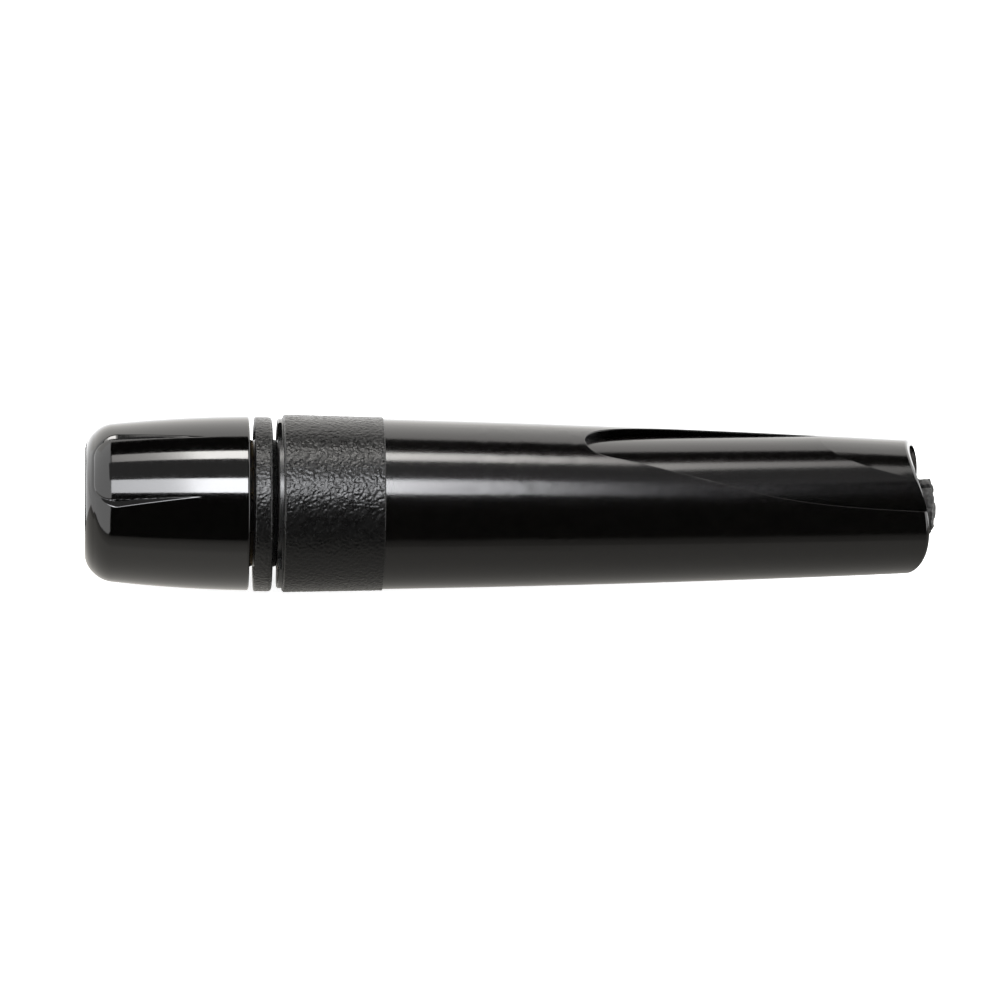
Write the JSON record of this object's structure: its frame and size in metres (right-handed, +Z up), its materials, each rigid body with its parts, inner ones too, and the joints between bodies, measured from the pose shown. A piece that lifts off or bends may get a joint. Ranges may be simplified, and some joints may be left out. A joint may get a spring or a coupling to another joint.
{
  "type": "twist-lock pen holder",
  "caption": "Short thick plastic pen holder with a screw-driven chuck: glossy end knob, loose lock ring, textured band, tapered barrel with finger pockets and rough rubber jaws in a wavy mouth.",
  "frame": {"origin": "centre of the bounding box's underside: on the floor, below the middle of the holder as it lies on its side", "axes": "+X along the holder's axis, from the knob to the mouth; +Z up; the first finger pocket faces up and towards -Y"},
  "size_m": [0.1064, 0.0222, 0.0222],
  "materials": {
    "gloss_black": "high gloss moulded",
    "satin_black": "satin moulded",
    "grain_black": "spark-eroded grain",
    "rough_rubber": "coarse granular matte",
    "seal_rubber": "smooth",
    "dark_polymer": "turned, fine tool marks",
    "brass": "turned",
    "steel": "turned",
    "spring_steel": "bright drawn wire",
    "nylon": "natural"
  },
  "bodies": {
    "barrel": {"barrel_shell": "satin_black", "grip_sleeve": "grain_black", "rear_bush": "dark_polymer", "nose_bush": "brass", "bush_snap_ring": "spring_steel", "return_spring": "spring_steel"},
    "draw_rod": {"push_rod": "steel", "rod_e_clip": "spring_steel", "thrust_washer_rear": "nylon", "thrust_washer_front": "nylon", "jaw_carrier": "brass", "jaw_pin_1": "steel", "jaw_pin_2": "steel", "jaw_pin_3": "steel", "jaw_spreader_ring": "seal_rubber"},
    "knob": {"knob_shell": "gloss_black", "spindle": "dark_polymer", "spindle_o_ring": "seal_rubber"},
    "lock_washer": {"lock_washer": "nylon"},
    "lock_ring": {"lock_ring": "grain_black", "lock_ring_insert": "brass"},
    "jaw_1": {"jaw_finger_1": "steel", "jaw_pad_1": "rough_rubber"},
    "jaw_2": {"jaw_finger_2": "steel", "jaw_pad_2": "rough_rubber"},
    "jaw_3": {"jaw_finger_3": "steel", "jaw_pad_3": "rough_rubber"}
  },
  "joints": [
    {"name": "rod_draw", "type": "slide", "parent": "barrel", "child": "draw_rod", "axis": [1, 0, 0], "range_m": [-0.0025, 0], "deforming": ["return_spring"]},
    {"name": "knob_turn", "type": "hinge", "parent": "draw_rod", "child": "knob", "pos_m": [-0.0412, 0, 0.01112], "axis": [1, 0, 0], "range_deg": [-900, 0]},
    {"name": "lock_ring_travel", "type": "slide", "parent": "knob", "child": "lock_washer", "axis": [1, 0, 0], "range_m": [-0.00033333, 0.00033333]},
    {"name": "lock_ring_turn", "type": "hinge", "parent": "lock_washer", "child": "lock_ring", "pos_m": [-0.0311, 0, 0.01097], "axis": [1, 0, 0], "range_deg": [-120, 120]},
    {"name": "jaw_1_swing", "type": "hinge", "parent": "draw_rod", "child": "jaw_1", "pos_m": [0.0128, -0.00338, 0.01235], "axis": [0, -0.342, -0.9397], "range_deg": [0, 1.3]},
    {"name": "jaw_2_swing", "type": "hinge", "parent": "draw_rod", "child": "jaw_2", "pos_m": [0.0128, 0.00276, 0.01343], "axis": [0, -0.6428, 0.766], "range_deg": [0, 1.3]},
    {"name": "jaw_3_swing", "type": "hinge", "parent": "draw_rod", "child": "jaw_3", "pos_m": [0.0128, 0.00063, 0.00757], "axis": [0, 0.9848, 0.1736], "range_deg": [0, 1.3]}
  ],
  "couplings": [
    {"joint": "knob_turn", "follows": "rod_draw", "rad_per_m": 6283.2},
    {"joint": "lock_ring_turn", "follows": "lock_ring_travel", "rad_per_m": 6283.2},
    {"joint": "jaw_1_swing", "follows": "rod_draw", "rad_per_m": -8.8663},
    {"joint": "jaw_2_swing", "follows": "rod_draw", "rad_per_m": -8.8663},
    {"joint": "jaw_3_swing", "follows": "rod_draw", "rad_per_m": -8.8663}
  ]
}
